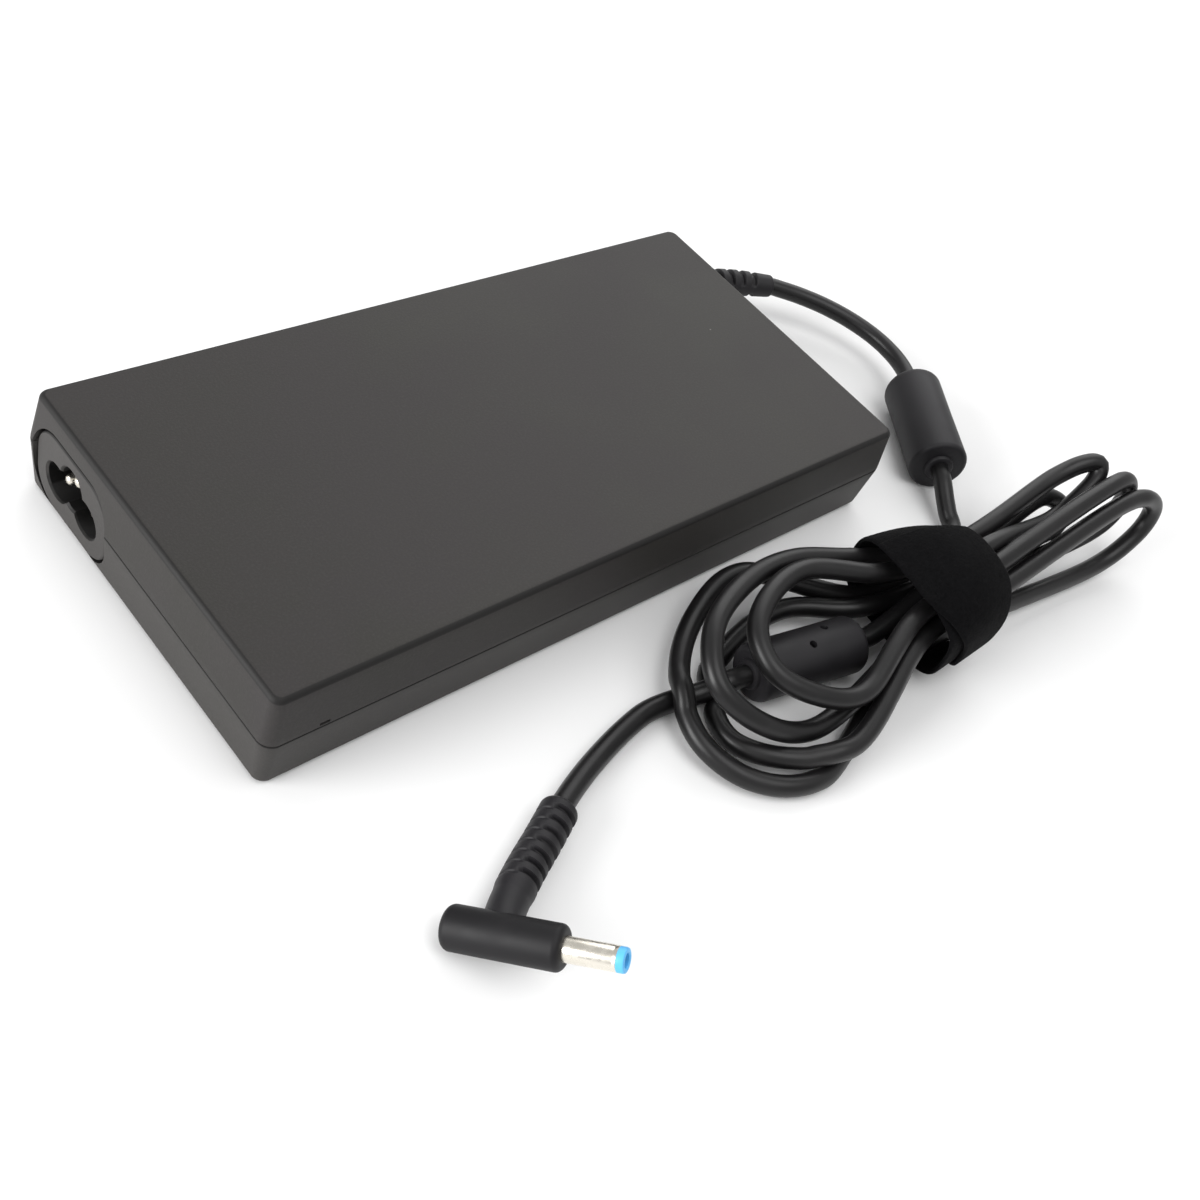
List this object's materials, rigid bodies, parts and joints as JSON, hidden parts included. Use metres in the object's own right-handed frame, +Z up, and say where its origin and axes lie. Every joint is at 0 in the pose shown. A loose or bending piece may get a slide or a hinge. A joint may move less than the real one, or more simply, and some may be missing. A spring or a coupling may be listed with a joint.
{
  "type": "laptop power adapter",
  "caption": "Slim black laptop power adapter with a cloverleaf mains inlet and a captive output cord, wound and strapped, ending in a right-angle barrel plug with a blue tip.",
  "frame": {"origin": "middle of the case's flat underside, where it rests", "axes": "+X along the case towards the output cord end, +Z up out of the top face"},
  "size_m": [0.2414, 0.1534, 0.0247],
  "materials": {
    "upper_plastic": "fine-textured black, matte",
    "lower_plastic": "fine-textured black, matte, a shade lighter",
    "socket_plastic": "smooth black",
    "cord_jacket": "smooth black, slight sheen",
    "moulded_rubber": "satin black overmould",
    "strap_fabric": "black hook-and-loop, fuzzy",
    "nickel": "bright nickel plate",
    "blue_plastic": "sky blue moulded plastic",
    "label": "blank satin black film",
    "board": "green laminate",
    "aluminium": "rolled sheet",
    "film": "cream polyester film",
    "ferrite": "dark sintered ferrite",
    "copper": "enamelled copper",
    "tape": "yellow winding tape",
    "can_sleeve": "dark blue shrink sleeve",
    "film_box": "ochre moulded box",
    "epoxy": "black moulding compound",
    "silicone": "grey silicone pad"
  },
  "bodies": {
    "adapter": {"top_shell": "upper_plastic", "bottom_shell": "lower_plastic", "rating_label": "label", "inlet_body": "socket_plastic", "line_pin": "nickel", "neutral_pin": "nickel", "earth_pin": "nickel", "cord_gland": "moulded_rubber", "shield_plate": "copper", "insulating_sheet": "film", "circuit_board": "board", "heat_spreader": "aluminium", "thermal_pad": "silicone", "fuse": "film", "x_capacitor": "film_box", "choke_core": "ferrite", "choke_winding_1": "copper", "choke_winding_2": "copper", "bridge_rectifier": "epoxy", "pfc_choke_core": "ferrite", "pfc_choke_winding": "copper", "bulk_capacitor_1": "can_sleeve", "bulk_capacitor_2": "can_sleeve", "primary_heat_sink": "aluminium", "power_transistor": "epoxy", "transformer_core": "ferrite", "transformer_winding": "tape", "secondary_heat_sink": "aluminium", "rectifier_transistor": "epoxy", "output_capacitor_1": "can_sleeve", "output_capacitor_2": "can_sleeve", "output_capacitor_3": "can_sleeve", "output_choke_core": "ferrite", "output_choke_winding": "copper", "case_ferrite_sleeve": "moulded_rubber", "case_ferrite_core": "ferrite", "plug_ferrite_sleeve": "moulded_rubber", "plug_ferrite_core": "ferrite", "lead_cord": "cord_jacket", "cord_hank": "cord_jacket", "tail_cord": "cord_jacket", "plug_boot": "moulded_rubber", "plug_body": "moulded_rubber", "plug_barrel": "nickel", "plug_tip": "blue_plastic", "plug_pin": "nickel", "strap_band": "strap_fabric"},
    "strap_tail": {"strap_flap": "strap_fabric"}
  },
  "joints": [
    {"name": "strap_peel", "type": "hinge", "parent": "adapter", "child": "strap_tail", "pos_m": [0.06665, -0.07087, 0.02217], "axis": [-0.9923, 0.0802, -0.0945], "range_deg": [0, 110]}
  ]
}
